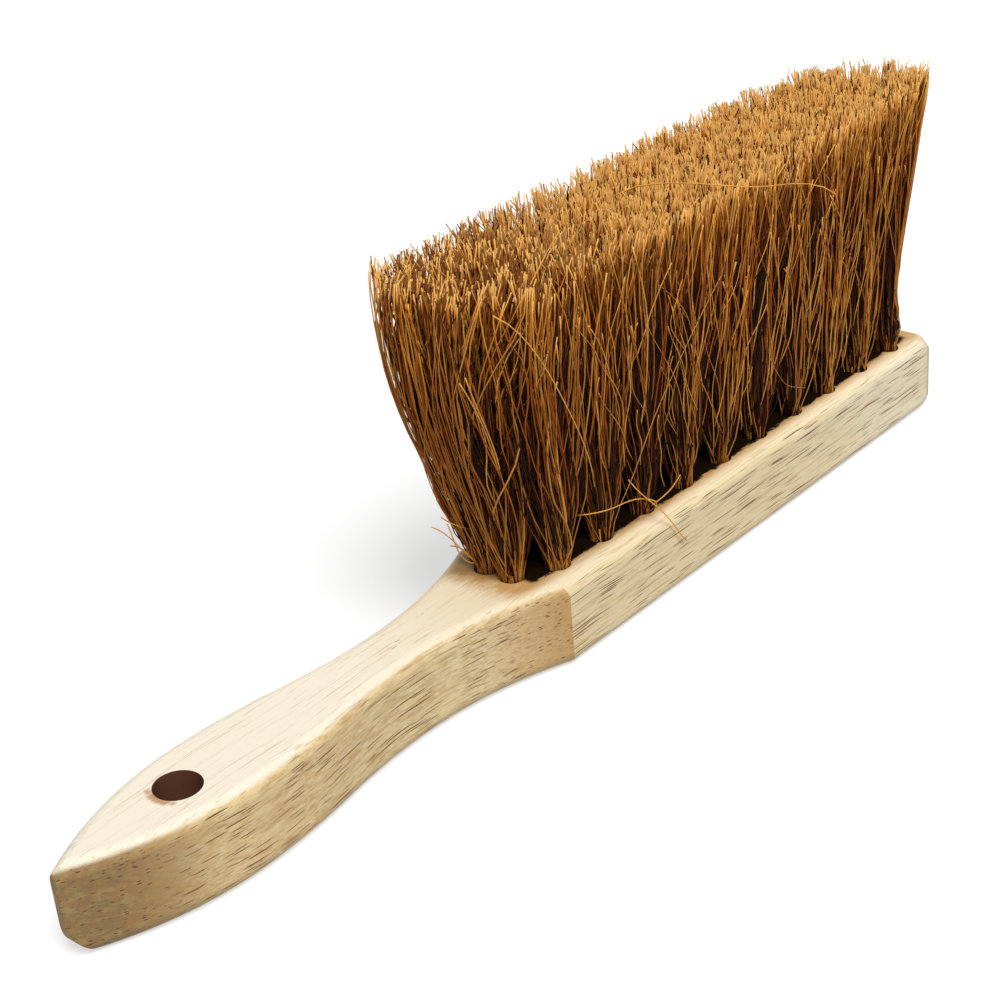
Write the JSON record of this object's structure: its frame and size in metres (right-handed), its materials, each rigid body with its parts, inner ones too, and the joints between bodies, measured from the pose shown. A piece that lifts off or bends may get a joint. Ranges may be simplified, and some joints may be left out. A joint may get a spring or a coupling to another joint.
{
  "type": "hand broom",
  "caption": "Hand broom with a one-piece wooden head and waisted handle, a drilled hang hole, and staggered rows of wire-anchored coir tufts that flare to a flat sweeping edge.",
  "frame": {"origin": "under the middle of the broom's length and width, on the flat back that it lies on", "axes": "+X along the broom from the end of the handle to the tip of the head, +Z along the bristles"},
  "size_m": [0.2834, 0.0364, 0.089],
  "materials": {
    "rubberwood": "satin",
    "coir_fibre": "matte",
    "anchor_wire": "satin"
  },
  "bodies": {
    "root": {"anchors_inner_back": "anchor_wire", "anchors_inner_front": "anchor_wire", "anchors_outer_back": "anchor_wire", "anchors_outer_front": "anchor_wire", "stock_and_handle": "rubberwood", "tuft_inner_back_01": "coir_fibre", "tuft_inner_back_02": "coir_fibre", "tuft_inner_back_03": "coir_fibre", "tuft_inner_back_04": "coir_fibre", "tuft_inner_back_05": "coir_fibre", "tuft_inner_back_06": "coir_fibre", "tuft_inner_back_07": "coir_fibre", "tuft_inner_back_08": "coir_fibre", "tuft_inner_back_09": "coir_fibre", "tuft_inner_back_10": "coir_fibre", "tuft_inner_back_11": "coir_fibre", "tuft_inner_front_01": "coir_fibre", "tuft_inner_front_02": "coir_fibre", "tuft_inner_front_03": "coir_fibre", "tuft_inner_front_04": "coir_fibre", "tuft_inner_front_05": "coir_fibre", "tuft_inner_front_06": "coir_fibre", "tuft_inner_front_07": "coir_fibre", "tuft_inner_front_08": "coir_fibre", "tuft_inner_front_09": "coir_fibre", "tuft_inner_front_10": "coir_fibre", "tuft_inner_front_11": "coir_fibre", "tuft_outer_back_01": "coir_fibre", "tuft_outer_back_02": "coir_fibre", "tuft_outer_back_03": "coir_fibre", "tuft_outer_back_04": "coir_fibre", "tuft_outer_back_05": "coir_fibre", "tuft_outer_back_06": "coir_fibre", "tuft_outer_back_07": "coir_fibre", "tuft_outer_back_08": "coir_fibre", "tuft_outer_back_09": "coir_fibre", "tuft_outer_back_10": "coir_fibre", "tuft_outer_front_01": "coir_fibre", "tuft_outer_front_02": "coir_fibre", "tuft_outer_front_03": "coir_fibre", "tuft_outer_front_04": "coir_fibre", "tuft_outer_front_05": "coir_fibre", "tuft_outer_front_06": "coir_fibre", "tuft_outer_front_07": "coir_fibre", "tuft_outer_front_08": "coir_fibre", "tuft_outer_front_09": "coir_fibre", "tuft_outer_front_10": "coir_fibre"}
  },
  "joints": []
}
